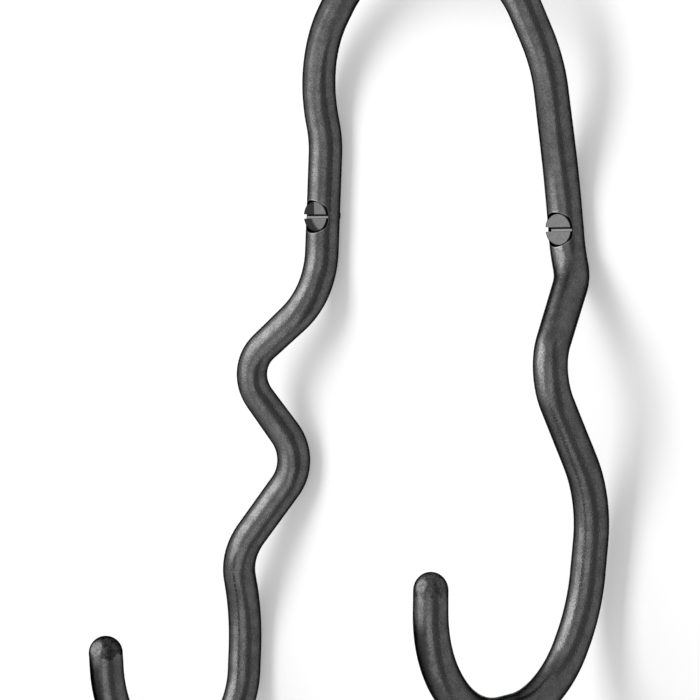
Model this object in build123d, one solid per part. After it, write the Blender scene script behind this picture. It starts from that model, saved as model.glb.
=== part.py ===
from build123d import *
import math
import os
from dataclasses import dataclass

# A wall hook bent from one round steel bar and held by two slotted countersunk wood screws.
# All lengths are in millimetres. The origin is on the wall, midway between the two screws.
# +X runs to the right, +Y into the wall and +Z up, so the front of the hook faces -Y.

# Round bar
rod_diameter = 8.0

# Where the two legs are screwed to the wall
screw_spacing = 72.0
seat_top = 18.0
left_seat_bottom = -12.0
right_seat_top = 10.0
right_seat_bottom = -5.0
left_seat_lean = 0.05
right_seat_lean = -0.11

# Screw holes through the bar
shank_clearance = 0.15
head_clearance = 0.1
head_below_front = 1.3

# Arch that joins the legs above the screws
arch_height = 63.5
arch_gap = 14.0
arch_crown_from_left_screw = 44.0
arch_radius = 58.0

# Left hook
left_hook_outward = 24.6
left_hook_reach = 46.5
left_hook_drop = 129.0
left_hook_radius = 26.0
left_tip_drop = 96.6
left_tip_lean_out = 1.5
left_tip_lean_left = 0.6

# Right hook
right_hook_outward = 7.8
right_hook_reach = 56.5
right_hook_drop = 104.0
right_hook_radius = 26.0
right_tip_drop = 69.4

# Wood screws
screw_length = 30.0
head_diameter = 7.5
head_angle = 90.0
head_edge = 0.25
slot_width = 1.0
slot_depth = 1.1
shank_diameter = 4.0
core_diameter = 2.9
point_length = 4.0

rod_radius = rod_diameter / 2
head_radius = head_diameter / 2
shank_radius = shank_diameter / 2
core_radius = core_diameter / 2
half_head_angle = math.radians(head_angle / 2)

# The flat top of a screw head and the foot of its thin edge, measured out from the wall
head_top = rod_diameter - head_below_front
head_rim = head_top - head_edge

# Share of a straight run that the two bends at its ends may use up together
run_in_bends = 0.97


@dataclass(frozen=True)
class Bend:
    """One corner of the bar's centreline, before its bend rounds it off."""

    across: float
    gap: float
    up: float
    radius: float

    def corner(self, screw_x):
        """The corner in space, set out from the screw of its own leg."""
        return Vector(screw_x + self.across, -(self.gap + rod_radius), self.up)


# across is measured to the right from the leg's own screw, gap is the clear space between the
# bar's back and the wall, up is measured from the level of the screws, and radius is that of
# the bend on the centreline. The first bend is the left tip and the last is the right tip.
left_leg = [
    Bend(
        across=-left_hook_outward - left_tip_lean_left,
        gap=left_hook_reach + left_tip_lean_out,
        up=-left_tip_drop - rod_radius,
        radius=0.0,
    ),
    Bend(across=-left_hook_outward, gap=left_hook_reach, up=-left_hook_drop, radius=left_hook_radius),
    Bend(across=-26.0, gap=0.8, up=-left_hook_drop, radius=18.0),
    Bend(across=-25.0, gap=0.0, up=-98.0, radius=38.0),
    Bend(across=-22.0, gap=6.8, up=-82.0, radius=16.0),
    Bend(across=-6.9, gap=-1.0, up=-58.6, radius=11.5),
    Bend(across=-17.5, gap=10.3, up=-36.8, radius=10.0),
    Bend(across=-0.8, gap=4.0, up=-20.5, radius=14.0),
    Bend(across=left_seat_lean * left_seat_bottom, gap=0.0, up=left_seat_bottom, radius=16.0),
    Bend(across=left_seat_lean * seat_top, gap=0.0, up=seat_top, radius=30.0),
    Bend(across=-0.4, gap=3.8, up=36.5, radius=36.0),
    Bend(across=18.5, gap=9.5, up=58.0, radius=35.0),
    Bend(across=arch_crown_from_left_screw, gap=arch_gap, up=arch_height, radius=arch_radius),
]
right_leg = [
    Bend(across=-3.7, gap=16.0, up=57.0, radius=16.0),
    Bend(across=2.6, gap=10.2, up=37.0, radius=30.0),
    Bend(across=right_seat_lean * right_seat_top, gap=0.0, up=right_seat_top, radius=30.0),
    Bend(across=right_seat_lean * right_seat_bottom, gap=0.0, up=right_seat_bottom, radius=13.0),
    Bend(across=3.7, gap=2.2, up=-10.5, radius=13.0),
    Bend(across=10.7, gap=21.3, up=-29.6, radius=11.0),
    Bend(across=10.7, gap=3.0, up=-59.0, radius=36.0),
    Bend(across=7.8, gap=2.5, up=-84.0, radius=30.0),
    Bend(across=6.5, gap=13.0, up=-right_hook_drop, radius=22.0),
    Bend(across=right_hook_outward, gap=right_hook_reach, up=-right_hook_drop, radius=right_hook_radius),
    Bend(across=right_hook_outward, gap=right_hook_reach, up=-right_tip_drop - rod_radius, radius=0.0),
]


def bend_radii(corners, wanted):
    """The radius of each bend between the tips, eased where its straight runs are too short."""
    runs = [(b - a).length for a, b in zip(corners, corners[1:])]
    half_turns = [
        math.radians((b - a).get_angle(c - b)) / 2
        for a, b, c in zip(corners, corners[1:], corners[2:])
    ]
    tangents = [0.0] + [r * math.tan(h) for r, h in zip(wanted[1:-1], half_turns)] + [0.0]
    room = [
        min(1.0, run_in_bends * run / (before + after))
        for run, before, after in zip(runs, tangents, tangents[1:])
    ]
    return [
        min(left, right) * tangent / math.tan(half_turn)
        for left, right, tangent, half_turn in zip(room, room[1:], tangents[1:-1], half_turns)
    ]


def rod_route():
    """The centreline of the bar, from the left tip over the arch to the right tip."""
    corners = [bend.corner(-screw_spacing / 2) for bend in left_leg]
    corners += [bend.corner(screw_spacing / 2) for bend in right_leg]
    radii = bend_radii(corners, [bend.radius for bend in left_leg + right_leg])
    return FilletPolyline(*corners, radius=radii)


def out_of_wall(x):
    """A plane on the wall at a screw, whose own Z points straight out of the wall."""
    return Plane(origin=(x, 0, 0), x_dir=(1, 0, 0), z_dir=(0, -1, 0))


def screw_hole(x):
    """What one screw needs cut away: a clearance hole, a countersink and a straight mouth."""
    hole_radius = shank_radius + shank_clearance
    mouth_radius = head_radius + head_clearance
    mouth = head_top + rod_radius
    throat = head_rim - (mouth_radius - hole_radius) / math.tan(half_head_angle)
    outline = Polyline(
        (0, -rod_radius),
        (hole_radius, -rod_radius),
        (hole_radius, throat),
        (mouth_radius, head_rim),
        (mouth_radius, mouth),
        (0, mouth),
        close=True,
    )
    profile = make_face(Plane.XZ * outline)
    return out_of_wall(x) * revolve(profile, Axis.Z)


def half_sphere(centre, outward):
    """The domed end of the bar, with its flat side on the bar's own end."""
    return Plane(origin=centre, z_dir=outward) * Sphere(rod_radius, arc_size1=0, align=None)


def make_rod():
    """The bent bar with domed tips and a countersunk hole for each screw."""
    route = rod_route()
    section = Plane(origin=route @ 0, z_dir=route % 0) * Circle(rod_radius)
    left_tip = half_sphere(route @ 0, -(route % 0))
    right_tip = half_sphere(route @ 1, route % 1)
    bar = sweep(section, path=route) + left_tip + right_tip
    for side in (-1, 1):
        bar -= screw_hole(side * screw_spacing / 2)
    return bar


def make_screw(x):
    """A slotted countersunk wood screw: smooth as far as the wall, then its thread's core."""
    neck = head_rim - (head_radius - shank_radius) / math.tan(half_head_angle)
    tip = head_top - screw_length
    outline = Polyline(
        (0, tip),
        (core_radius, tip + point_length),
        (core_radius, 0),
        (shank_radius, 0),
        (shank_radius, neck),
        (head_radius, head_rim),
        (head_radius, head_top),
        (0, head_top),
        close=True,
    )
    body = revolve(make_face(Plane.XZ * outline), Axis.Z)
    slot = Pos(0, 0, head_top) * Box(head_diameter * 2, slot_width, slot_depth * 2)
    return out_of_wall(x) * (body - slot)


def main():
    """Write each piece as a STEP file of its own."""
    os.makedirs("parts", exist_ok=True)
    pieces = {
        "bent_rod": make_rod(),
        "left_screw": make_screw(-screw_spacing / 2),
        "right_screw": make_screw(screw_spacing / 2),
    }
    for name, piece in pieces.items():
        export_step(piece, f"parts/{name}.step")


if __name__ == "__main__":
    main()
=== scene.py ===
"""Looks of a wall hook: a bar of dark steel bent by hand and held by two slotted wood screws."""
import logging
import math
from abc import ABC, abstractmethod
from dataclasses import dataclass, replace
from enum import Enum
from functools import cache, partial, reduce

import bpy
import numpy as np
from bpy.types import ID, Material, Mesh, Node, NodeOutputs, NodeSocket, NodeTree, Object
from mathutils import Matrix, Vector, noise
from mathutils.kdtree import KDTree


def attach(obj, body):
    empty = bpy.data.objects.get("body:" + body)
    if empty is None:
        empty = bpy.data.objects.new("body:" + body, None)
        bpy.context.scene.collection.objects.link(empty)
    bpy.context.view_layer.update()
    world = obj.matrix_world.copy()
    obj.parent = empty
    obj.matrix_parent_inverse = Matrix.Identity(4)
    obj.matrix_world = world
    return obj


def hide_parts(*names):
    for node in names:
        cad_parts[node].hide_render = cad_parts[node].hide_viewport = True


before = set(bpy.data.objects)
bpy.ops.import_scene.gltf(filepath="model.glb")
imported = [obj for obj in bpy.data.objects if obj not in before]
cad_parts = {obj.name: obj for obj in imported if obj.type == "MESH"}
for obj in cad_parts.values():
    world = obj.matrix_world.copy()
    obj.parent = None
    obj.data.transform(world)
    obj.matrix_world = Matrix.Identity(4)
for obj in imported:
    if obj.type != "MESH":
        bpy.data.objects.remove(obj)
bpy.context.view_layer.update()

log = logging.getLogger("wall_hook")

MM = 0.001
PLACE = "place_on_stock"
FROM_TIP = "from_tip"
SEEING_RAYS = ("Camera", "Glossy", "Transmission")


class Leg(Enum):
    """The leg that a bend or a screw belongs to, by the side its screw stands on."""

    LEFT = -1
    RIGHT = 1


class Head(Enum):
    """Whether a screw head has painted shade over one half."""

    CLEAN = "clean"
    HALF_SHADED = "half_shaded"


@dataclass(frozen=True)
class Bend:
    """One corner of the bar's centreline before its bend rounds it off, in millimetres.

    across is measured from the leg's own screw, gap is the clear space behind the bar, up is
    measured from the screws, radius is that of the bend, and girth is the bar's thickness there
    as a share of the stock's.
    """

    leg: Leg
    across: float
    gap: float
    up: float
    radius: float
    girth: float = 1.0


@dataclass(frozen=True)
class Stock:
    """The round bar and the places that the whole hook is set out from, in millimetres."""

    diameter: float = 8.0
    screw_spacing: float = 72.0

    @property
    def radius(self) -> float:
        """Half of the bar's thickness."""
        return self.diameter / 2

    def screw_x(self, leg: Leg) -> float:
        """The place of a leg's screw across the wall."""
        return leg.value * self.screw_spacing / 2

    def corner(self, bend: Bend) -> np.ndarray:
        """The corner of a bend in space, on the bar's centreline."""
        return np.array([self.screw_x(bend.leg) + bend.across, -(bend.gap + self.radius), bend.up])


STOCK = Stock()

LEFT_BENDS = (
    Bend(Leg.LEFT, across=-25.2, gap=48.0, up=-100.6, radius=0.0),
    Bend(Leg.LEFT, across=-24.6, gap=46.5, up=-129.0, radius=26.0),
    Bend(Leg.LEFT, across=-26.0, gap=0.8, up=-129.0, radius=18.0),
    Bend(Leg.LEFT, across=-25.0, gap=0.0, up=-98.0, radius=38.0),
    Bend(Leg.LEFT, across=-22.0, gap=6.8, up=-82.0, radius=16.0, girth=0.97),
    Bend(Leg.LEFT, across=-6.9, gap=-1.0, up=-58.6, radius=11.5),
    Bend(Leg.LEFT, across=-17.5, gap=10.3, up=-36.8, radius=10.0, girth=0.9),
    Bend(Leg.LEFT, across=-0.8, gap=4.0, up=-20.5, radius=14.0),
    Bend(Leg.LEFT, across=-0.6, gap=0.0, up=-12.0, radius=16.0),
    Bend(Leg.LEFT, across=0.9, gap=0.0, up=18.0, radius=30.0),
    Bend(Leg.LEFT, across=-0.4, gap=3.8, up=36.5, radius=36.0, girth=0.97),
    Bend(Leg.LEFT, across=18.5, gap=9.5, up=58.0, radius=35.0, girth=0.98),
    Bend(Leg.LEFT, across=44.0, gap=14.0, up=63.5, radius=58.0, girth=0.98),
)
RIGHT_BENDS = (
    Bend(Leg.RIGHT, across=-3.7, gap=16.0, up=57.0, radius=16.0, girth=0.98),
    Bend(Leg.RIGHT, across=2.6, gap=10.2, up=37.0, radius=30.0, girth=0.96),
    Bend(Leg.RIGHT, across=-1.1, gap=0.0, up=10.0, radius=30.0),
    Bend(Leg.RIGHT, across=0.55, gap=0.0, up=-5.0, radius=13.0),
    Bend(Leg.RIGHT, across=3.7, gap=2.2, up=-10.5, radius=13.0),
    Bend(Leg.RIGHT, across=10.7, gap=21.3, up=-29.6, radius=11.0, girth=0.96),
    Bend(Leg.RIGHT, across=10.7, gap=3.0, up=-59.0, radius=36.0, girth=0.99),
    Bend(Leg.RIGHT, across=7.8, gap=2.5, up=-84.0, radius=30.0),
    Bend(Leg.RIGHT, across=6.5, gap=13.0, up=-104.0, radius=22.0),
    Bend(Leg.RIGHT, across=7.8, gap=56.5, up=-104.0, radius=26.0),
    Bend(Leg.RIGHT, across=8.1, gap=56.5, up=-73.4, radius=0.0, girth=0.945),
)


def unit(vector: np.ndarray) -> np.ndarray:
    """The vector at a length of one."""
    return vector / np.linalg.norm(vector)


def towards(azimuth: float, elevation: float) -> Vector:
    """The direction to a place in the room, in degrees right of the hook's front and up."""
    a, e = math.radians(azimuth), math.radians(elevation)
    return Vector((math.sin(a) * math.cos(e), -math.cos(a) * math.cos(e), math.sin(e)))


@dataclass(frozen=True)
class Route:
    """The centreline of the bar as straight runs joined by tangent arcs.

    points and tangents have one row for each station, stations holds the distance from the first
    tip, and girths the bar's thickness there as a share of the stock's.
    """

    points: np.ndarray
    tangents: np.ndarray
    stations: np.ndarray
    girths: np.ndarray

    @classmethod
    def through(cls, bends: tuple[Bend, ...], step: float, girth_ease: float) -> "Route":
        """Follows the bends from tip to tip.

        Args:
            bends: The corners of the centreline with their bend radii.
            step: The distance between stations.
            girth_ease: The length over which the thickness eases from one bend to the next.

        Returns:
            The route, with the tangent arcs cut into its corners.
        """
        corners = [STOCK.corner(bend) for bend in bends]
        points, tangents, marks = [corners[0]], [unit(corners[1] - corners[0])], [0]
        for before, corner, after, bend in zip(corners, corners[1:], corners[2:], bends[1:]):
            into = unit(corner - before)
            out = unit(after - corner)
            turn = math.acos(float(np.clip(into @ out, -1.0, 1.0)))
            arc_start = corner - into * bend.radius * math.tan(turn / 2)
            cls._add_run(points, tangents, arc_start, step)
            centre = corner + unit(out - into) * bend.radius / math.cos(turn / 2)
            spoke = unit(arc_start - centre)
            count = max(2, math.ceil(bend.radius * turn / step))
            marks.append(len(points) + count // 2)
            for angle in np.linspace(0.0, turn, count + 1)[1:]:
                points.append(centre + bend.radius * (spoke * math.cos(angle) + into * math.sin(angle)))
                tangents.append(into * math.cos(angle) - spoke * math.sin(angle))
        cls._add_run(points, tangents, corners[-1], step)
        marks.append(len(points) - 1)
        places = np.array(points)
        stations = np.concatenate([[0.0], np.cumsum(np.linalg.norm(np.diff(places, axis=0), axis=1))])
        girths = np.interp(stations, stations[marks], [bend.girth for bend in bends])
        reach = max(1, round(girth_ease / step))
        window = np.hanning(2 * reach + 1)
        eased = np.convolve(np.pad(girths, reach, mode="edge"), window / window.sum(), mode="valid")
        return cls(places, np.array(tangents), stations, eased)

    @staticmethod
    def _add_run(points: list[np.ndarray], tangents: list[np.ndarray], end: np.ndarray, step: float) -> None:
        """Adds the stations of a straight run from the last point to its end.

        Args:
            points: The points so far, which grow.
            tangents: Their tangents, which grow too.
            end: The last point of the run.
            step: The distance between stations.
        """
        start = points[-1]
        count = max(1, math.ceil(float(np.linalg.norm(end - start)) / step))
        for share in np.linspace(0.0, 1.0, count + 1)[1:]:
            points.append(start + (end - start) * share)
            tangents.append(unit(end - start))

    def crosswise(self) -> tuple[np.ndarray, np.ndarray]:
        """Two directions across the bar at each station, carried along without twisting.

        Returns:
            The first and the second direction, one row for each station.
        """
        first = [unit(np.cross(self.tangents[0], (0.0, 1.0, 0.0)))]
        for tangent in self.tangents[1:]:
            first.append(unit(first[-1] - (first[-1] @ tangent) * tangent))
        across = np.array(first)
        return across, np.cross(self.tangents, across)


def new_object(name: str, vertices: np.ndarray, faces: list[tuple[int, ...]]) -> Object:
    """Makes a mesh object and links it into the scene.

    Args:
        name: The name of the object and its mesh.
        vertices: One row for each vertex, in millimetres.
        faces: The faces, by the numbers of their vertices.

    Returns:
        The new object.
    """
    mesh = bpy.data.meshes.new(name)
    mesh.from_pydata([tuple(v) for v in np.asarray(vertices) * MM], [], faces)
    mesh.validate()
    made = bpy.data.objects.new(name, mesh)
    bpy.context.scene.collection.objects.link(made)
    return made


def quads(rows: int, columns: int, closed: bool) -> list[tuple[int, ...]]:
    """The quads between rows of vertices that follow one another.

    Args:
        rows: How many rows there are.
        columns: How many vertices each row has.
        closed: Whether a row runs round to its own start.

    Returns:
        One quad for each gap between neighbours.
    """
    return [
        (
            row * columns + column,
            row * columns + (column + 1) % columns,
            (row + 1) * columns + (column + 1) % columns,
            (row + 1) * columns + column,
        )
        for row in range(rows - 1)
        for column in range(columns if closed else columns - 1)
    ]


def closed_tube(
    name: str, rings: list[np.ndarray], start: tuple[float, ...], end: tuple[float, ...]
) -> Object:
    """Skins rings of vertices and closes both ends with a fan to a point.

    Args:
        name: The name of the object.
        rings: Arrays of vertices in millimetres, all of one length.
        start: The point that closes the first ring.
        end: The point that closes the last ring.

    Returns:
        The closed mesh, with its faces turned outwards.
    """
    sides = len(rings[0])
    first_tip = len(rings) * sides
    last = first_tip - sides
    faces = quads(len(rings), sides, closed=True)
    faces += [(first_tip, (side + 1) % sides, side) for side in range(sides)]
    faces += [(first_tip + 1, last + side, last + (side + 1) % sides) for side in range(sides)]
    made = new_object(name, np.vstack([*rings, [start], [end]]), faces)
    face_outwards(made.data)
    return made


def full_turn(sides: int) -> np.ndarray:
    """The angles of the vertices round a ring."""
    return np.linspace(0.0, 2 * math.pi, sides, endpoint=False)


def ring(x: float, radius: float | np.ndarray, out: float, sides: int) -> np.ndarray:
    """The vertices round a screw's axis at x, at a radius and so far out from the wall."""
    turn = full_turn(sides)
    return np.column_stack([x + radius * np.cos(turn), np.full(sides, -out), radius * np.sin(turn)])


def lathe(name: str, outline: list[tuple[float | np.ndarray, float]], x: float, sides: int) -> Object:
    """Turns an outline about a screw's axis, which points out of the wall.

    Args:
        name: The name of the object.
        outline: Pairs of radius and distance out from the wall, first and last on the axis. A
            radius may be an array with a value for each side.
        x: The place of the axis across the wall.
        sides: How many steps the turn has.

    Returns:
        The closed turned solid.
    """
    rings = [ring(x, radius, out, sides) for radius, out in outline[1:-1]]
    return closed_tube(name, rings, (x, -outline[0][1], 0.0), (x, -outline[-1][1], 0.0))


def face_outwards(mesh: Mesh) -> None:
    """Turns every face round if a closed mesh is inside out.

    Args:
        mesh: The closed mesh.
    """
    points = np.array([v.co for v in mesh.vertices])
    corners = [points[list(face.vertices[:3])] for face in mesh.polygons]
    if sum(float(a @ np.cross(b, c)) for a, b, c in corners) < 0.0:
        mesh.flip_normals()


def cut_away(body: Object, cutter: Object) -> None:
    """Takes the cutter's solid out of the body and removes the cutter.

    Args:
        body: The object that is cut. Its own mesh is replaced by the cut one.
        cutter: The solid that is taken away.
    """
    cut = body.modifiers.new("cut", "BOOLEAN")
    cut.operation = "DIFFERENCE"
    cut.solver = "EXACT"
    cut.object = cutter
    depsgraph = bpy.context.evaluated_depsgraph_get()
    mesh = bpy.data.meshes.new_from_object(body.evaluated_get(depsgraph))
    body.modifiers.clear()
    body.data = mesh
    mesh.name = body.name
    bpy.data.objects.remove(cutter)


def shade(piece: Object, crease_deg: float) -> None:
    """Shades a piece smoothly but for edges that turn by more than the crease."""
    piece.data.shade_smooth()
    piece.data.set_sharp_from_angle(angle=math.radians(crease_deg))


def write_place(mesh: Mesh, places: np.ndarray) -> None:
    """Keeps each vertex's place on the straight stock: two distances across and one along it."""
    attribute = mesh.attributes.new(PLACE, "FLOAT_VECTOR", "POINT")
    attribute.data.foreach_set("vector", places.astype(np.float32).ravel())


def write_from_tip(mesh: Mesh, distances: np.ndarray) -> None:
    """Keeps each vertex's distance along the bar from the nearer end, below zero on a dome."""
    attribute = mesh.attributes.new(FROM_TIP, "FLOAT", "POINT")
    attribute.data.foreach_set("value", distances.astype(np.float32))


def grey(level: float) -> tuple[float, float, float, float]:
    """A neutral colour of that linear level."""
    return (level, level, level, 1.0)


class Nodes:
    """A short way to add nodes to one shader tree and join them up.

    A value given to a node is a socket that feeds it, or a number, colour or vector.
    """

    # The places of a Mix node's sockets for numbers and for colours
    number_in: tuple[int, int] = (2, 3)
    number_out: int = 0
    colour_in: tuple[int, int] = (6, 7)
    colour_out: int = 2

    def __init__(self, tree: NodeTree) -> None:
        """Keeps the tree that the nodes go into."""
        self.tree = tree

    def fill(self, node: Node, values: dict[object, object]) -> None:
        """Gives a node's inputs their values.

        Args:
            node: The node.
            values: What each input gets, by its name or number.
        """
        for key, value in values.items():
            if isinstance(value, NodeSocket):
                self.tree.links.new(value, node.inputs[key])
            else:
                node.inputs[key].default_value = value

    def add(self, kind: str, values: object = (), **settings: object) -> Node:
        """Adds a node.

        Args:
            kind: The type of the node.
            values: The values of its inputs, by their names or numbers.
            **settings: Its own settings.

        Returns:
            The new node.
        """
        node = self.tree.nodes.new(kind)
        for key, value in settings.items():
            setattr(node, key, value)
        self.fill(node, dict(values))
        return node

    def group(self, tree: NodeTree, **values: object) -> NodeOutputs:
        """The outputs of a node group that is placed with these values."""
        return self.add("ShaderNodeGroup", values, node_tree=tree).outputs

    def math(self, operation: str, *values: object) -> NodeSocket:
        """The result of a Math node."""
        return self.add("ShaderNodeMath", enumerate(values), operation=operation).outputs[0]

    def plus(self, one: object, other: object) -> NodeSocket:
        """The sum of two values."""
        return self.math("ADD", one, other)

    def minus(self, one: object, other: object) -> NodeSocket:
        """One value less another."""
        return self.math("SUBTRACT", one, other)

    def times(self, *values: object) -> NodeSocket:
        """The product of two values or more."""
        return reduce(partial(self.math, "MULTIPLY"), values)

    def vector(self, operation: str, *values: object) -> NodeOutputs:
        """The results of a Vector Math node."""
        return self.add("ShaderNodeVectorMath", enumerate(values), operation=operation).outputs

    def split(self, vector: NodeSocket) -> NodeOutputs:
        """The three parts of a vector."""
        return self.add("ShaderNodeSeparateXYZ", {0: vector}).outputs

    def combine(self, *parts: object) -> NodeSocket:
        """A vector of up to three parts."""
        return self.add("ShaderNodeCombineXYZ", enumerate(parts)).outputs[0]

    def distance(self, one: object, other: object) -> NodeSocket:
        """The length of the way that goes this far one way and that far square to it."""
        return self.vector("LENGTH", self.combine(one, other))["Value"]

    def step(self, value: object, low: object, high: object) -> NodeSocket:
        """A smooth step from 0 at low to 1 at high."""
        values = {"Value": value, "From Min": low, "From Max": high}
        return self.add("ShaderNodeMapRange", values, interpolation_type="SMOOTHSTEP").outputs["Result"]

    def spread(self, value: object, low: object, high: object) -> NodeSocket:
        """A value from 0 to 1 as one from low to high."""
        values = {"Value": value, "To Min": low, "To Max": high}
        return self.add("ShaderNodeMapRange", values).outputs["Result"]

    def noise(self, place: object, scale: object, detail: float) -> NodeSocket:
        """The value of a Noise texture, about 0.5 on the mean."""
        values = {"Vector": place, "Scale": scale, "Detail": detail}
        return self.add("ShaderNodeTexNoise", values).outputs[0]

    def blend(self, share: object, low: object, high: object) -> NodeSocket:
        """A colour from low, where the share is 0, to high, where it is 1."""
        values = zip((0, *self.colour_in), (share, low, high))
        return self.add("ShaderNodeMix", values, data_type="RGBA").outputs[self.colour_out]

    def between(self, share: object, low: object, high: object) -> NodeSocket:
        """A number from low, where the share is 0, to high, where it is 1."""
        values = zip((0, *self.number_in), (share, low, high))
        return self.add("ShaderNodeMix", values, data_type="FLOAT").outputs[self.number_out]

    def greys(self, share: object, levels: tuple[float, float]) -> NodeSocket:
        """A grey between two levels."""
        return self.blend(share, grey(levels[0]), grey(levels[1]))


class Group(Nodes):
    """A shader node group in the making, with named inputs and outputs."""

    def __init__(self, name: str, vectors: tuple[str, ...], numbers: tuple[str, ...]) -> None:
        """Starts the group.

        Args:
            name: The name of the group.
            vectors: The names of the inputs that take a vector.
            numbers: The names of the inputs that take a number.
        """
        super().__init__(bpy.data.node_groups.new(name, "ShaderNodeTree"))
        kinds = dict.fromkeys(vectors, "NodeSocketVector") | dict.fromkeys(numbers, "NodeSocketFloat")
        for key, kind in kinds.items():
            self.tree.interface.new_socket(key, in_out="INPUT", socket_type=kind)
        self.given = self.add("NodeGroupInput").outputs

    def __getitem__(self, name: str) -> NodeSocket:
        """What an input is given."""
        return self.given[name]

    def closed(self, **results: NodeSocket) -> NodeTree:
        """Gives the group its outputs, which are all numbers.

        Args:
            **results: What each output puts out, by its name.

        Returns:
            The finished group.
        """
        for key in results:
            self.tree.interface.new_socket(key, in_out="OUTPUT", socket_type="NodeSocketFloat")
        self.add("NodeGroupOutput", results)
        return self.tree


@cache
def drawn_grain() -> NodeTree:
    """Long fine lines along the stock, as drawing through a die leaves them.

    Returns:
        The group, which puts out a height from 0 to 1.
    """
    group = Group("drawn_grain", ("Place",), ("Fineness", "Length"))
    x, y, z = group.split(group["Place"])
    stretched = group.combine(x, y, group.math("DIVIDE", z, group["Length"]))
    return group.closed(Height=group.noise(stretched, group["Fineness"], detail=3.0))


@cache
def turning_marks() -> NodeTree:
    """Rings about a turned piece's own axis, uneven in depth.

    Returns:
        The group, which puts out a height from 0 to 1.
    """
    group = Group("turning_marks", ("Place",), ("Fineness",))
    x, y, z = group.split(group["Place"])
    along_rings = group.combine(group.distance(x, y), z)
    return group.closed(Height=group.noise(along_rings, group["Fineness"], detail=2.0))


@cache
def mottling() -> NodeTree:
    """Cloudy patches and a finer speckle, as an oiled and heated skin has them.

    Returns:
        The group, which puts out a mask from 0 to 1.
    """
    cloud_share, low, high = 0.42, 0.4, 0.6
    group = Group("mottling", ("Place",), ("Cloud", "Speckle"))
    clouds = group.noise(group["Place"], group["Cloud"], detail=3.0)
    speckle = group.noise(group["Place"], group["Speckle"], detail=2.0)
    return group.closed(Mask=group.step(group.between(cloud_share, speckle, clouds), low, high))


@cache
def grit() -> NodeTree:
    """The fine unevenness of a scaled skin, the same in all directions.

    Returns:
        The group, which puts out a height from 0 to 1.
    """
    group = Group("grit", ("Place",), ("Fineness",))
    return group.closed(Height=group.noise(group["Place"], group["Fineness"], detail=1.0))


@cache
def pits() -> NodeTree:
    """Sparse small nicks in the surface.

    Returns:
        The group, which puts out a height that is 1 on the surface and 0 in a nick.
    """
    nick, edge = 0.06, 0.22
    group = Group("pits", ("Place",), ("Spacing", "Share"))
    place = group.vector("DIVIDE", group["Place"], group["Spacing"])["Vector"]
    cells = group.add("ShaderNodeTexVoronoi", {"Vector": place, "Scale": 1.0}).outputs
    picked = group.add("ShaderNodeSeparateColor", {0: cells["Color"]}).outputs[0]
    absent = group.math("GREATER_THAN", picked, group["Share"])
    return group.closed(Height=group.math("MAXIMUM", group.step(cells["Distance"], nick, edge), absent))


@cache
def ground_end() -> NodeTree:
    """The ragged area round a tip that was ground to its dome.

    Returns:
        The group, which puts out a mask that is 1 on the ground area.
    """
    fineness, wander, blur = 0.45, 3.0, 0.2
    group = Group("ground_end", ("Place",), ("Tip", "Reach"))
    uneven = group.noise(group["Place"], fineness, detail=3.0)
    place = group.plus(group["Tip"], group.spread(uneven, -wander, wander))
    return group.closed(Mask=group.step(group.minus(group["Reach"], place), -blur, blur))


@cache
def facing() -> NodeTree:
    """The part of a surface that faces one way, with a ragged edge.

    Returns:
        The group, which puts out a mask that is 1 where the surface faces that way.
    """
    fineness, mean = 1.1, 0.5
    group = Group("facing", ("Place", "Direction"), ("Least", "Most", "Raggedness"))
    normal = group.add("ShaderNodeNewGeometry").outputs["Normal"]
    faced = group.vector("DOT_PRODUCT", normal, group["Direction"])["Value"]
    uneven = group.minus(group.noise(group["Place"], fineness, detail=3.0), mean)
    ragged = group.plus(faced, group.times(uneven, group["Raggedness"]))
    return group.closed(Mask=group.step(ragged, group["Least"], group["Most"]))


@cache
def hole_marks() -> NodeTree:
    """Painted shade in the countersunk holes of the bar and a painted highlight round each.

    Its inputs are in metres. The painted shade lies in the mouth and the cone near the level of the
    head and below it, but the left hole has none below the head.

    Returns:
        The group, which puts out a mask of the painted shade and one of the painted highlight.
    """
    square_to_cone, highlight_fade = 0.7, 1.6
    edge_start, edge_end = 0.03 * MM, 0.07 * MM
    front_from = -3.0 * MM
    near_head, far_from_head = 0.3 * MM, 0.6 * MM
    group = Group("hole_marks", (), ("Spacing", "Mouth", "Throat", "Top", "Edge"))
    x, y, z = group.split(group.add("ShaderNodeTexCoord").outputs["Object"])
    side = group.math("SIGN", x)
    radius = group.distance(group.minus(x, group.times(group["Spacing"], side, 0.5)), z)
    past_mouth = group.minus(radius, group["Mouth"])
    past_cone = group.plus(group.plus(radius, y), group["Throat"])
    past = group.math("MAXIMUM", past_mouth, group.times(past_cone, square_to_cone))
    front = group.math("LESS_THAN", y, front_from)
    out_of_hole = group.step(past, edge_start, edge_end)
    # Painted shade near the head's level and below it, but none below the head in the left hole
    proud = group.minus(group.times(y, -1.0), group["Top"])
    below_head = group.math("LESS_THAN", proud, -near_head)
    unshaded = group.times(below_head, group.math("LESS_THAN", side, 0.0))
    shaded = group.times(group.step(proud, far_from_head, near_head), group.minus(1.0, unshaded))
    # Painted highlight: a lighter band on the bar's front just outside each hole's mouth
    beyond = group.step(past, group["Edge"], group.times(group["Edge"], highlight_fade))
    return group.closed(
        Dirt=group.times(group.minus(1.0, out_of_hole), front, shaded),
        Worn=group.times(group.minus(out_of_hole, beyond), front),
    )


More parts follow.
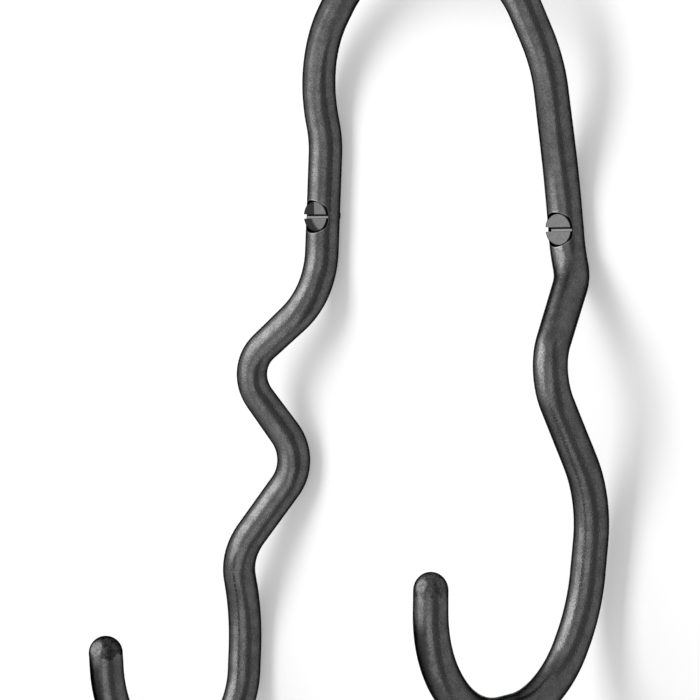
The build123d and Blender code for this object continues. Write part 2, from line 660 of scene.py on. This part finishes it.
@cache
def slot_marks() -> NodeTree:
    """The milled floor of a slot, and painted shade along its upper side and round the head's rim.

    Returns:
        The group, which puts out a mask of the floor and one of the painted shade.
    """
    past_floor, wall_start, wall_end = 0.05, 0.1, 0.3
    shade_blur, rim_blur, off_centre = 0.06, 0.05, 0.12
    group = Group("slot_marks", ("Place",), ("Top", "Depth", "Edge", "Face"))
    x, y, z = group.split(group["Place"])
    below = group.plus(z, group["Top"])
    in_head = group.math("LESS_THAN", below, group.plus(group["Depth"], past_floor))
    floor = group.times(group.step(below, wall_start, wall_end), in_head)
    # Painted shade along the slot's upper side and round the head's rim
    upper = group.step(group.minus(y, group["Edge"]), -shade_blur, shade_blur)
    past_face = group.minus(group.distance(group.plus(x, off_centre), y), group["Face"])
    rim = group.step(past_face, -rim_blur, rim_blur)
    return group.closed(Floor=floor, Dirt=group.math("MAXIMUM", group.times(floor, upper), rim))


@cache
def half_shade() -> NodeTree:
    """Painted shade over one side of a screw head, where it mirrors a dark part of the room: a straight edge
    above the slot, a round one below.

    Returns:
        The group, which puts out a mask that is 1 in the painted shade.
    """
    straight_x, straight_blur = -0.36, 0.08
    round_x, round_y, round_start, round_end = 2.8, 0.6, 3.6, 4.5
    deepest = 0.1
    group = Group("half_shade", ("Place",), ("Top",))
    x, y, z = group.split(group["Place"])
    straight = group.step(group.minus(straight_x, x), -straight_blur, straight_blur)
    away = group.distance(group.minus(x, round_x), group.minus(y, round_y))
    rounded = group.step(away, round_start, round_end)
    half_shaded = group.between(group.math("GREATER_THAN", y, 0.0), rounded, straight)
    on_top = group.math("LESS_THAN", group.plus(z, group["Top"]), deepest)
    return group.closed(Mask=group.times(half_shaded, on_top))


@cache
def soft_window() -> NodeTree:
    """A soft-edged rectangle in azimuth and elevation.

    Returns:
        The group, which puts out a mask that is 1 inside the rectangle.
    """
    sides = (("Azimuth", "Left", "Right", "Side softness"), ("Elevation", "Low", "High", "End softness"))
    group = Group("soft_window", (), sides[0] + sides[1])
    spans = []
    for value, low, high, soft in sides:
        half = group.times(group[soft], 0.5)
        rise, fall = (
            group.step(group[value], group.minus(edge, half), group.plus(edge, half))
            for edge in (group[low], group[high])
        )
        spans.append(group.minus(rise, fall))
    return group.closed(Mask=group.times(*spans))


class Skin(Nodes):
    """The nodes of a steel surface in the making, with its colour and roughness so far."""

    colour: NodeSocket
    roughness: NodeSocket

    def __init__(self, tree: NodeTree) -> None:
        """Keeps the material's tree and reads the place on the stock in it."""
        super().__init__(tree)
        self.place = self.add("ShaderNodeAttribute", attribute_name=PLACE).outputs["Vector"]

    def effect(self, tree: NodeTree, **values: object) -> NodeOutputs:
        """The outputs of an effect at this place on the stock, with these values."""
        return self.group(tree, Place=self.place, **values)

    def cover(self, mask: NodeSocket, colour: object) -> None:
        """Lays a colour over the surface where the mask is 1."""
        self.colour = self.blend(mask, self.colour, colour)


@dataclass(frozen=True)
class Facing:
    """The part of a surface that looks one way, given in degrees.

    least and most say how squarely it must look that way to be marked a little and in full, and
    raggedness how uneven the edge is.
    """

    azimuth: float
    elevation: float
    least: float
    most: float
    raggedness: float

    def mask(self, skin: Skin) -> NodeSocket:
        """A mask of that part of a skin."""
        values = {"Least": self.least, "Most": self.most, "Raggedness": self.raggedness}
        return skin.effect(facing(), Direction=towards(self.azimuth, self.elevation), **values)["Mask"]


@dataclass(frozen=True)
class Steel(ABC):
    """A steel surface: its mottled colour and gloss, and the fine relief in it.

    Depths and spacings are millimetres of the real surface, and a cloud, a speckle or a fineness is
    so many to the millimetre. dark and light are the ends of its colour, smooth and rough those of
    its roughness.
    """

    name: str
    dark: float
    light: float
    smooth: float
    rough: float
    cloud: float
    speckle: float
    grain_fineness: float
    grain_depth: float
    grit_fineness: float
    grit_depth: float
    pit_spacing: float
    pit_share: float
    pit_depth: float = 0.01
    rim_tint: float = 0.2

    def build(self) -> Material:
        """Makes the material.

        Returns:
            The finished material.
        """
        material = bpy.data.materials.new(self.name)
        material.use_nodes = True
        skin = Skin(material.node_tree)
        mask = skin.effect(mottling(), Cloud=self.cloud, Speckle=self.speckle)["Mask"]
        skin.colour = skin.greys(mask, (self.dark, self.light))
        skin.roughness = skin.spread(mask, self.rough, self.smooth)
        self._mark(skin)
        relief = {"Strength": 1.0, "Distance": 1.0, "Height": self._relief(skin)}
        steel = material.node_tree.nodes["Principled BSDF"]
        skin.fill(steel, {
            "Metallic": 1.0,
            "Specular Tint": grey(self.rim_tint),
            "Base Color": skin.colour,
            "Roughness": skin.roughness,
            "Normal": skin.add("ShaderNodeBump", relief).outputs["Normal"],
        })
        return material

    def _relief(self, skin: Skin) -> NodeSocket:
        """The height of the surface.

        Args:
            skin: The surface.

        Returns:
            The height in metres, from the grain, the nicks and the grit.
        """
        nicks = skin.effect(pits(), Spacing=self.pit_spacing, Share=self.pit_share)["Height"]
        rough = skin.effect(grit(), Fineness=self.grit_fineness)["Height"]
        height = skin.times(self._grain(skin), self.grain_depth * MM)
        height = skin.math("MULTIPLY_ADD", nicks, self.pit_depth * MM, height)
        return skin.math("MULTIPLY_ADD", rough, self.grit_depth * MM, height)

    @abstractmethod
    def _grain(self, skin: Skin) -> NodeSocket:
        """The height of the lines that shaping the steel left in it, from 0 to 1."""

    @abstractmethod
    def _mark(self, skin: Skin) -> None:
        """Adds the marks that only this steel has."""


@dataclass(frozen=True)
class BarSteel(Steel):
    """The bar's drawn steel, with ground and burnt tips, painted shade on its arm fronts and at its holes.

    The right leg is the part beyond right_from. A pair of greys is for the dark and the light of
    the speckle, or near a tip and further from it. Where the painted shade on the arm fronts starts,
    changes and ends is given by pairs of distances from the tip. A painted highlight rings each
    hole. All lengths are millimetres.
    """

    grain_length: float = 10.0
    right_from: float = 300.0
    # Painted shade: the arm fronts that face this way are darkened near the tips
    shaded_front: Facing = Facing(azimuth=-2.0, elevation=-8.0, least=0.81, most=0.97, raggedness=0.1)
    shade_start: tuple[float, float] = (-2.0, 4.0)
    shade_later_on_right: float = 5.0
    shade_change: tuple[float, float] = (4.0, 16.0)
    shade_end: tuple[float, float] = (75.0, 55.0)
    shade_left: tuple[float, float] = (0.014, 0.022)
    shade_right: tuple[float, float] = (0.018, 0.028)
    ground_reach: float = 0.5
    ground_rough: float = 0.3
    ground_cloud: float = 0.9
    ground_speckle: float = 2.6
    fresh_facet: Facing = Facing(azimuth=2.0, elevation=22.0, least=0.8, most=0.88, raggedness=0.3)
    fresh: tuple[float, float] = (0.036, 0.07)
    burnt_left: tuple[float, float] = (0.016, 0.05)
    burnt_right: tuple[float, float] = (0.036, 0.075)
    # The width and the grey of the painted highlight round each hole
    highlight_band: float = 0.2
    highlight_grey: float = 0.125
    # The grey of the painted shade in the holes
    painted_shade_grey: float = 0.003

    def _grain(self, skin: Skin) -> NodeSocket:
        """The height of the drawn grain."""
        return skin.effect(drawn_grain(), Fineness=self.grain_fineness, Length=self.grain_length)["Height"]

    def _mark(self, skin: Skin) -> None:
        """Adds the marks near the tips and at the holes.

        Args:
            skin: The surface, which changes.
        """
        tip = skin.add("ShaderNodeAttribute", attribute_name=FROM_TIP).outputs["Fac"]
        right = skin.math("GREATER_THAN", skin.split(skin.place)[2], self.right_from)
        # Painted shade on the arm fronts near the tips, set by which way the surface faces
        from_start = skin.minus(tip, skin.times(right, self.shade_later_on_right))
        in_reach = skin.times(skin.step(from_start, *self.shade_start), skin.step(tip, *self.shade_end))
        change = skin.step(tip, *self.shade_change)
        front_shade = skin.blend(right, skin.greys(change, self.shade_left), skin.greys(change, self.shade_right))
        skin.cover(skin.times(self.shaded_front.mask(skin), in_reach), front_shade)
        ground = skin.effect(ground_end(), Tip=tip, Reach=self.ground_reach)["Mask"]
        speckle = skin.effect(mottling(), Cloud=self.ground_cloud, Speckle=self.ground_speckle)["Mask"]
        burnt = skin.blend(right, skin.greys(speckle, self.burnt_left), skin.greys(speckle, self.burnt_right))
        fresh = skin.greys(speckle, self.fresh)
        skin.cover(ground, skin.blend(self.fresh_facet.mask(skin), burnt, fresh))
        skin.roughness = skin.between(ground, skin.roughness, self.ground_rough)
        mouth = WoodScrew.head_diameter / 2 + BentRod.head_clearance
        hole = skin.group(
            hole_marks(),
            Spacing=STOCK.screw_spacing * MM,
            Mouth=mouth * MM,
            Throat=(WoodScrew.head_top - WoodScrew.head_edge - mouth) * MM,
            Top=WoodScrew.head_top * MM,
            Edge=self.highlight_band * MM,
        )
        # Painted highlight: a lighter band round the mouth of each hole
        skin.cover(hole["Worn"], grey(self.highlight_grey))
        # Painted shade in each hole round the screw head
        skin.cover(hole["Dirt"], grey(self.painted_shade_grey))


@dataclass(frozen=True)
class ScrewSteel(Steel):
    """A screw's turned steel, with its bright slot, painted shade in the slot and on one head painted shade
    over one half.

    slot_shine is the slot's brightness as a multiple of the lightest steel's. The next length is
    how far above the middle of the slot its painted shade starts, and dark_rim how wide the rim of
    painted shade is, in millimetres.
    """

    head: Head = Head.CLEAN
    slot_shine: float = 1.4
    shade_edge: float = 0.02
    dark_rim: float = 0.36
    # The grey of the painted shade over one half of a head
    half_shade_grey: float = 0.011
    painted_shade_grey: float = 0.002

    def _grain(self, skin: Skin) -> NodeSocket:
        """The height of the turning marks."""
        return skin.effect(turning_marks(), Fineness=self.grain_fineness)["Height"]

    def _mark(self, skin: Skin) -> None:
        """Adds the slot's bright floor, the painted shade over one half of a head and that in the slot.

        Args:
            skin: The surface, which changes.
        """
        top = WoodScrew.head_top
        face = WoodScrew.head_diameter / 2 - self.dark_rim
        slot = skin.effect(slot_marks(), Top=top, Depth=WoodScrew.slot_depth, Edge=self.shade_edge, Face=face)
        skin.cover(slot["Floor"], grey(self.light * self.slot_shine))
        # Painted shade over one half of the head, where it mirrors a dark part of the room
        if self.head is Head.HALF_SHADED:
            skin.cover(skin.effect(half_shade(), Top=top)["Mask"], grey(self.half_shade_grey))
        # Painted shade along the slot's upper side and round the head's rim
        skin.cover(slot["Dirt"], grey(self.painted_shade_grey))


@dataclass(frozen=True)
class WoodScrew:
    """A slotted countersunk wood screw, in millimetres out from the wall or across the screw."""

    leg: Leg
    length: float = 30.0
    head_top: float = 6.7
    head_diameter: float = 7.5
    head_angle_deg: float = 90.0
    head_edge: float = 0.25
    head_chamfer: float = 0.1
    slot_width: float = 1.0
    slot_depth: float = 1.1
    slot_slope_deg: float = 0.0
    shank_diameter: float = 4.0
    core_diameter: float = 2.9
    point_length: float = 4.0
    pitch: float = 1.8
    crest_share: float = 0.22
    crest_fade: float = 2.0
    sides: int = 72
    thread_step: float = 0.08
    crease_deg: float = 25.0

    @property
    def x(self) -> float:
        """The place of the screw's axis across the wall."""
        return STOCK.screw_x(self.leg)

    @property
    def tip(self) -> float:
        """How far the point reaches into the wall."""
        return self.length - self.head_top

    @property
    def head_rim(self) -> float:
        """How far the foot of the head's thin edge stands out from the wall."""
        return self.head_top - self.head_edge

    def cone_end(self, wide: float, narrow: float) -> float:
        """How far out from the wall the head's cone, wide at its rim, has come down to narrow."""
        return self.head_rim - (wide - narrow) / math.tan(math.radians(self.head_angle_deg / 2))

    def head_outline(self) -> list[tuple[float, float]]:
        """The head and the smooth shank.

        Returns:
            Pairs of radius and distance out from the wall, from the middle of the head down.
        """
        head = self.head_diameter / 2
        shank = self.shank_diameter / 2
        return [
            (0.0, self.head_top),
            (head / 2, self.head_top),
            (head - self.head_chamfer, self.head_top),
            (head, self.head_top - self.head_chamfer),
            (head, self.head_rim),
            (shank, self.cone_end(head, shank)),
            (shank, 0.0),
        ]

    def thread_radius(self, depth: float) -> np.ndarray:
        """The radius of the threaded part.

        Args:
            depth: The distance into the wall.

        Returns:
            A radius for each side.
        """
        taper = min(1.0, max(0.0, (self.tip - depth) / self.point_length))
        phase = (depth / self.pitch - full_turn(self.sides) / (2 * math.pi)) % 1.0
        ridge = np.clip(1.0 - np.abs(phase - 0.5) / self.crest_share, 0.0, 1.0)
        full_crest = (self.shank_diameter - self.core_diameter) / 2
        crest = full_crest * min(1.0, depth / self.pitch) * min(1.0, self.crest_fade * taper)
        return self.core_diameter / 2 * taper + crest * ridge

    def build(self, finish: Material) -> Object:
        """Makes the screw.

        Args:
            finish: Its steel.

        Returns:
            The finished piece.
        """
        side = self.leg.name.lower()
        depths = np.linspace(0.0, self.tip, round(self.tip / self.thread_step), endpoint=False)
        thread = [(self.thread_radius(depth), -depth) for depth in depths]
        outline = [*self.head_outline(), *thread, (0.0, -self.tip)]
        piece = lathe(f"{side}_wood_screw", outline, self.x, self.sides)
        cut_away(piece, self._slot_cutter())
        shade(piece, self.crease_deg)
        x, y, z = (np.array([v.co for v in piece.data.vertices]) / MM).T
        slope = math.radians(self.slot_slope_deg)
        along = (x - self.x) * math.cos(slope) + z * math.sin(slope)
        up = z * math.cos(slope) - (x - self.x) * math.sin(slope)
        write_place(piece.data, np.column_stack([along, up, y]))
        piece.data.materials.append(finish)
        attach(piece, "root")
        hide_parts(f"{side}_screw")
        return piece

    def _slot_cutter(self) -> Object:
        """The bar that the slot is milled with.

        Returns:
            A solid that crosses the whole head.
        """
        reach = self.head_diameter
        half = self.slot_width / 2
        floor = self.head_top - self.slot_depth
        above = self.head_top + self.slot_width
        slope = math.radians(self.slot_slope_deg)
        vertices = []
        for along in (-reach, reach):
            for up, out in ((-half, floor), (half, floor), (half, above), (-half, above)):
                x = along * math.cos(slope) - up * math.sin(slope)
                z = along * math.sin(slope) + up * math.cos(slope)
                vertices.append((self.x + x, -out, z))
        faces = [(0, 1, 2, 3), (7, 6, 5, 4), (0, 4, 5, 1), (1, 5, 6, 2), (2, 6, 7, 3), (3, 7, 4, 0)]
        made = new_object("slot_cutter", vertices, faces)
        face_outwards(made.data)
        return made


@dataclass(frozen=True)
class BentRod:
    """The bent bar with its domed tips and the countersunk holes for its screws, in millimetres."""

    bends: tuple[Bend, ...] = LEFT_BENDS + RIGHT_BENDS
    step: float = 0.6
    sides: int = 72
    girth_ease: float = 9.0
    dome_rings: int = 14
    facet_azimuth: float = 2.0
    facet_elevation: float = 22.0
    facet_distance: float = 0.9
    wave_depth: float = 0.05
    wave_length: float = 14.0
    waves_round: float = 1.1
    wave_gain: float = 1.4
    shank_clearance: float = 0.15
    head_clearance: float = 0.1
    cutter_sides: int = 96
    crease_deg: float = 35.0

    def build(self, finish: Material, screws: tuple[WoodScrew, ...]) -> Object:
        """Makes the bar.

        Args:
            finish: Its steel.
            screws: The screws that it has holes for.

        Returns:
            The finished piece.
        """
        route = Route.through(self.bends, self.step, self.girth_ease)
        across, other = route.crosswise()
        turn = full_turn(self.sides)
        around = [np.outer(np.cos(turn), a) + np.outer(np.sin(turn), b) for a, b in zip(across, other)]
        rings = []
        for point, spokes, station, girth in zip(route.points, around, route.stations, route.girths):
            radii = STOCK.radius * girth - self._waves(turn, station)
            rings.append(point + spokes * radii[:, None])
        first = self._dome(route.points[0], -route.tangents[0], around[0], rings[0])
        last = self._dome(route.points[-1], route.tangents[-1], around[-1], rings[-1])
        skin = first[:0:-1] + rings + last[1:]
        start = route.points[0] - route.tangents[0] * STOCK.radius
        end = route.points[-1] + route.tangents[-1] * STOCK.radius
        self._grind(skin, route.points[0])
        self._grind(skin, route.points[-1])
        piece = closed_tube("bent_steel_rod", skin, tuple(start), tuple(end))
        for screw in screws:
            cut_away(piece, self._hole_cutter(screw))
        shade(piece, self.crease_deg)
        self._write_places(piece, route, across, other)
        piece.data.materials.append(finish)
        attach(piece, "root")
        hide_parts("bent_rod")
        return piece

    def _waves(self, turn: np.ndarray, station: float) -> np.ndarray:
        """How far the hand-worked surface lies inside the round at one station.

        Args:
            turn: The angles round the bar.
            station: The distance along it.

        Returns:
            A depth for each angle, never below zero.
        """
        spots = zip(self.waves_round * np.cos(turn), self.waves_round * np.sin(turn))
        uneven = [noise.noise(Vector((x, y, station / self.wave_length))) for x, y in spots]
        return self.wave_depth * (0.5 + 0.5 * np.clip(np.array(uneven) * self.wave_gain, -1.0, 1.0))

    def _dome(
        self, base: np.ndarray, outward: np.ndarray, spokes: np.ndarray, rim: np.ndarray
    ) -> list[np.ndarray]:
        """The rings of a domed tip.

        Args:
            base: The centre of the bar's end.
            outward: The direction past the end.
            spokes: The directions to the vertices of each ring.
            rim: The vertices of the bar's last ring.

        Returns:
            The rings from the rim towards the tip, the rim among them.
        """
        radii = np.linalg.norm(rim - base, axis=1)
        rings = [rim]
        for angle in np.linspace(0.0, math.pi / 2, self.dome_rings + 1)[1:-1]:
            centre = base + outward * STOCK.radius * math.sin(angle)
            rings.append(centre + spokes * (radii * math.cos(angle))[:, None])
        return rings

    def _grind(self, rings: list[np.ndarray], centre: np.ndarray) -> None:
        """Flattens a facet on a domed tip, where the wheel took the burr off.

        Args:
            rings: The rings of the whole bar, which change near the tip.
            centre: The centre of the dome.
        """
        normal = np.array(towards(self.facet_azimuth, self.facet_elevation))
        for vertices in rings:
            near = np.linalg.norm(vertices - centre, axis=1) < STOCK.diameter
            proud = (vertices - centre) @ normal - self.facet_distance * STOCK.radius
            vertices -= np.outer(np.clip(proud, 0.0, None) * near, normal)

    def _hole_cutter(self, screw: WoodScrew) -> Object:
        """The solid of a clearance hole, its countersink and the straight mouth round the head.

        Args:
            screw: The screw that goes in.

        Returns:
            The turned solid, which reaches past both sides of the bar.
        """
        hole = screw.shank_diameter / 2 + self.shank_clearance
        mouth = screw.head_diameter / 2 + self.head_clearance
        front = screw.head_top + STOCK.radius
        outline = [
            (0.0, -STOCK.radius),
            (hole, -STOCK.radius),
            (hole, screw.cone_end(mouth, hole)),
            (mouth, screw.head_rim),
            (mouth, front),
            (0.0, front),
        ]
        return lathe("hole_cutter", outline, screw.x, self.cutter_sides)

    @staticmethod
    def _write_places(piece: Object, route: Route, across: np.ndarray, other: np.ndarray) -> None:
        """Gives each vertex its place on the straight bar.

        Args:
            piece: The bent bar.
            route: Its centreline.
            across: The first direction across the bar at each station.
            other: The second direction.
        """
        tree = KDTree(len(route.points))
        for index, point in enumerate(route.points):
            tree.insert(tuple(point), index)
        tree.balance()
        points = np.array([v.co for v in piece.data.vertices]) / MM
        nearest = np.array([tree.find(tuple(point))[1] for point in points])
        offset = points - route.points[nearest]
        x, y, past = (np.sum(offset * way[nearest], axis=1) for way in (across, other, route.tangents))
        along = route.stations[nearest] + past
        write_place(piece.data, np.column_stack([x, y, along]))
        write_from_tip(piece.data, np.minimum(along, route.stations[-1] - along))


@dataclass(frozen=True)
class Camera:
    """The photograph's view. Angles are degrees, lengths millimetres."""

    azimuth: float = 41.0
    elevation: float = 5.62
    distance: float = 850.0
    target: tuple[float, float, float] = (-31.1, 0.0, -31.7)
    lens: float = 185.07
    sensor: float = 36.0

    def build(self) -> None:
        """Makes the scene's camera."""
        data = bpy.data.cameras.new("camera")
        data.lens = self.lens
        data.sensor_width = self.sensor
        back = towards(self.azimuth, self.elevation)
        place = (Vector(self.target) + back * self.distance) * MM
        bpy.context.scene.camera = aimed("camera", data, place, back)


def aimed(name: str, data: ID, place: Vector, back: Vector) -> Object:
    """Puts a camera or a lamp in its place.

    Args:
        name: The name of the object.
        data: The camera or the lamp.
        place: Where it stands, in metres.
        back: The direction that it looks away from.

    Returns:
        The object, linked into the scene.
    """
    made = bpy.data.objects.new(name, data)
    made.location = place
    made.rotation_mode = "QUATERNION"
    made.rotation_quaternion = (-back).to_track_quat("-Z", "Y")
    bpy.context.scene.collection.objects.link(made)
    return made


@dataclass(frozen=True)
class RoomPatch:
    """A part of the studio that shows in the steel, in degrees, with its brightness.

    softness is that of its left and right edges and of its lower and upper ones.
    """

    level: float
    azimuth: tuple[float, float]
    elevation: tuple[float, float]
    softness: tuple[float, float]

    def edges(self) -> dict[str, float]:
        """Where the soft window that it shows through has its edges, and how soft they are."""
        names = ("Left", "Right", "Low", "High", "Side softness", "End softness")
        return dict(zip(names, self.azimuth + self.elevation + self.softness))


ROOM = (
    RoomPatch(0.75, (-120.0, 120.0), (60.0, 120.0), (10.0, 14.0)),
    RoomPatch(0.78, (-120.0, 120.0), (-120.0, -60.0), (10.0, 14.0)),
    RoomPatch(1.2, (-130.0, -50.0), (56.0, 80.0), (12.0, 10.0)),
    RoomPatch(2.2, (-130.0, -55.0), (44.0, 60.0), (12.0, 10.0)),
    RoomPatch(0.72, (-130.0, -60.0), (-80.0, -34.0), (14.0, 12.0)),
    RoomPatch(1.05, (-66.0, -30.0), (-60.0, -25.0), (12.0, 12.0)),
    RoomPatch(1.75, (-28.0, 44.0), (-58.0, -27.0), (14.0, 12.0)),
    RoomPatch(1.95, (14.0, 39.0), (-36.0, -9.0), (5.0, 6.0)),
    RoomPatch(1.5, (-130.0, -62.0), (-16.0, 22.0), (10.0, 10.0)),
    RoomPatch(1.55, (26.0, 52.0), (-6.0, 28.0), (6.0, 10.0)),
    RoomPatch(1.8, (30.0, 54.0), (-66.0, -44.0), (6.0, 10.0)),
    RoomPatch(3.1, (-50.0, -6.0), (-27.0, 0.0), (10.0, 14.0)),
    RoomPatch(3.0, (-130.0, -60.0), (22.0, 50.0), (8.0, 10.0)),
    RoomPatch(5.5, (-60.0, -8.0), (1.0, 43.0), (8.0, 8.0)),
    RoomPatch(4.6, (-44.0, -10.0), (-7.0, 6.0), (8.0, 8.0)),
    RoomPatch(0.45, (49.0, 93.0), (-62.0, 58.0), (8.0, 12.0)),
)


@dataclass(frozen=True)
class Studio:
    """The pale room round the hook. Lengths are metres, angles degrees."""

    wall_gap: float = 0.0003
    wall_half_width: float = 3.0
    wall_top: float = 2.0
    floor: float = -1.35
    floor_reach: float = 3.5
    cove_radius: float = 0.25
    cove_steps: int = 12
    wall_grey: float = 0.85
    wall_lift: float = 0.3
    world_level: float = 0.5
    room_radius: float = 1.3
    room_level: float = 1.2
    room_side: float = 90.0
    room_top: float = 88.0
    room_columns: int = 61
    room_rows: int = 45
    key_azimuth: float = -20.0
    key_elevation: float = 20.0
    key_distance: float = 1.1
    key_width: float = 0.54
    key_height: float = 0.95
    key_power: float = 7.2

    def build(self) -> None:
        """Makes the wall and floor, the lamp, the room that the steel mirrors and the world."""
        self._cove()
        self._key_lamp()
        self._mirrored_room()
        self._world()

    def _cove(self) -> None:
        """A wall that curves into the floor, and can't be seen from behind."""
        turn = np.linspace(0.0, math.pi / 2, self.cove_steps + 1)
        curve_y = self.wall_gap - self.cove_radius * (1 - np.cos(turn))
        curve_z = self.floor + self.cove_radius * (1 - np.sin(turn))
        profile = [(self.wall_gap, self.wall_top), *zip(curve_y, curve_z)]
        profile.append((self.wall_gap - self.floor_reach, self.floor))
        vertices = [(side * self.wall_half_width, y, z) for y, z in profile for side in (1, -1)]
        cove = new_object("studio_cove", np.array(vertices) / MM, quads(len(profile), 2, closed=False))
        cove.data.shade_smooth()
        cove.data.materials.append(self._cove_paint())

    def _cove_paint(self) -> Material:
        """Matt white paint that stays white in the picture and keeps the hook's shadow.

        Returns:
            The paint.
        """
        paint = bpy.data.materials.new("studio_paint")
        paint.use_nodes = True
        nodes = Nodes(paint.node_tree)
        paint.node_tree.nodes.remove(paint.node_tree.nodes["Principled BSDF"])
        matt = nodes.add("ShaderNodeBsdfDiffuse", {"Color": grey(self.wall_grey)})
        lifted = nodes.greys(self._seen(nodes), (0.0, self.wall_lift))
        lift = nodes.add("ShaderNodeEmission", {"Color": lifted})
        both = nodes.add("ShaderNodeAddShader", {0: matt.outputs[0], 1: lift.outputs[0]})
        clear = nodes.add("ShaderNodeBsdfTransparent")
        behind = nodes.add("ShaderNodeNewGeometry").outputs["Backfacing"]
        side = nodes.add("ShaderNodeMixShader", enumerate((behind, both.outputs[0], clear.outputs[0])))
        nodes.fill(paint.node_tree.nodes["Material Output"], {"Surface": side.outputs[0]})
        return paint

    @staticmethod
    def _seen(nodes: Nodes) -> NodeSocket:
        """A mask of the rays that look: from the camera, a reflection or through glass."""
        path = nodes.add("ShaderNodeLightPath").outputs
        return reduce(partial(nodes.math, "MAXIMUM"), (path[f"Is {ray} Ray"] for ray in SEEING_RAYS))

    def _key_lamp(self) -> None:
        """The one soft lamp that draws the shadow, up on the left."""
        data = bpy.data.lights.new("key_lamp", "AREA")
        data.shape = "RECTANGLE"
        data.size = self.key_width
        data.size_y = self.key_height
        data.energy = self.key_power
        direction = towards(self.key_azimuth, self.key_elevation)
        lamp = aimed("key_lamp", data, direction * self.key_distance, direction)
        lamp.visible_camera = False
        lamp.visible_glossy = False

    def _mirrored_room(self) -> None:
        """The studio as the steel mirrors it: a half dome that only reflections see."""
        azimuths = np.linspace(-self.room_side, self.room_side, self.room_columns)
        elevations = np.linspace(-self.room_top, self.room_top, self.room_rows)
        vertices = [towards(a, e) * self.room_radius / MM for e in elevations for a in azimuths]
        room = new_object("mirrored_room", vertices, quads(self.room_rows, self.room_columns, closed=False))
        room.visible_camera = False
        room.visible_diffuse = False
        room.visible_transmission = False
        room.visible_volume_scatter = False
        room.visible_shadow = False
        room.data.materials.append(self._room_glow())

    def _room_glow(self) -> Material:
        """The brightness of the mirrored room: its softbox, pale floor, ceiling and open side.

        Returns:
            A glow that changes with the direction from the hook.
        """
        glow = bpy.data.materials.new("room_glow")
        glow.use_nodes = True
        glow.cycles.emission_sampling = "NONE"
        nodes = Nodes(glow.node_tree)
        glow.node_tree.nodes.remove(glow.node_tree.nodes["Principled BSDF"])
        place = nodes.add("ShaderNodeNewGeometry").outputs["Position"]
        x, y, z = nodes.split(nodes.vector("NORMALIZE", place)["Vector"])
        azimuth = nodes.math("DEGREES", nodes.math("ARCTAN2", x, nodes.times(y, -1.0)))
        elevation = nodes.math("DEGREES", nodes.math("ARCSINE", z))
        colour = grey(self.room_level)
        for patch in ROOM:
            window = nodes.group(soft_window(), Azimuth=azimuth, Elevation=elevation, **patch.edges())
            colour = nodes.blend(window["Mask"], colour, grey(patch.level))
        emission = nodes.add("ShaderNodeEmission", {"Color": colour})
        nodes.fill(glow.node_tree.nodes["Material Output"], {"Surface": emission.outputs[0]})
        return glow

    def _world(self) -> None:
        """Even light from all sides, which looks white where it is seen."""
        world = bpy.data.worlds.new("studio_light")
        bpy.context.scene.world = world
        world.use_nodes = True
        nodes = Nodes(world.node_tree)
        colour = nodes.greys(self._seen(nodes), (self.world_level, 1.0))
        nodes.fill(world.node_tree.nodes["Background"], {"Color": colour})


ROD_STEEL = BarSteel(
    name="burnished_rod_steel",
    dark=0.061,
    light=0.096,
    smooth=0.16,
    rough=0.28,
    cloud=0.35,
    speckle=3.0,
    grain_fineness=2.2,
    grain_depth=0.012,
    grit_fineness=2.4,
    grit_depth=0.045,
    pit_spacing=1.4,
    pit_share=0.12,
)
SCREW_STEEL = ScrewSteel(
    name="turned_screw_steel",
    dark=0.053,
    light=0.062,
    smooth=0.2,
    rough=0.3,
    cloud=1.2,
    speckle=4.0,
    grain_fineness=3.0,
    grain_depth=0.01,
    grit_fineness=3.6,
    grit_depth=0.015,
    pit_spacing=0.9,
    pit_share=0.08,
)


def main() -> None:
    """Builds the camera, the studio and the pieces in order, and reports each piece."""
    logging.basicConfig(level=logging.INFO, format="%(name)s: %(message)s")
    bpy.context.scene.view_settings.view_transform = "Standard"
    Camera().build()
    Studio().build()
    left = WoodScrew(Leg.LEFT, slot_slope_deg=2.6, slot_depth=0.8)
    right = WoodScrew(Leg.RIGHT, slot_slope_deg=3.1)
    # The left head gets painted shade over one half
    half_shaded = replace(SCREW_STEEL, name="half_shaded_screw_steel", head=Head.HALF_SHADED)
    pieces = [
        BentRod().build(ROD_STEEL.build(), (left, right)),
        left.build(half_shaded.build()),
        right.build(SCREW_STEEL.build()),
    ]
    for piece in pieces:
        log.info("%s has %d faces", piece.name, len(piece.data.polygons))


if __name__ == "__main__":
    main()
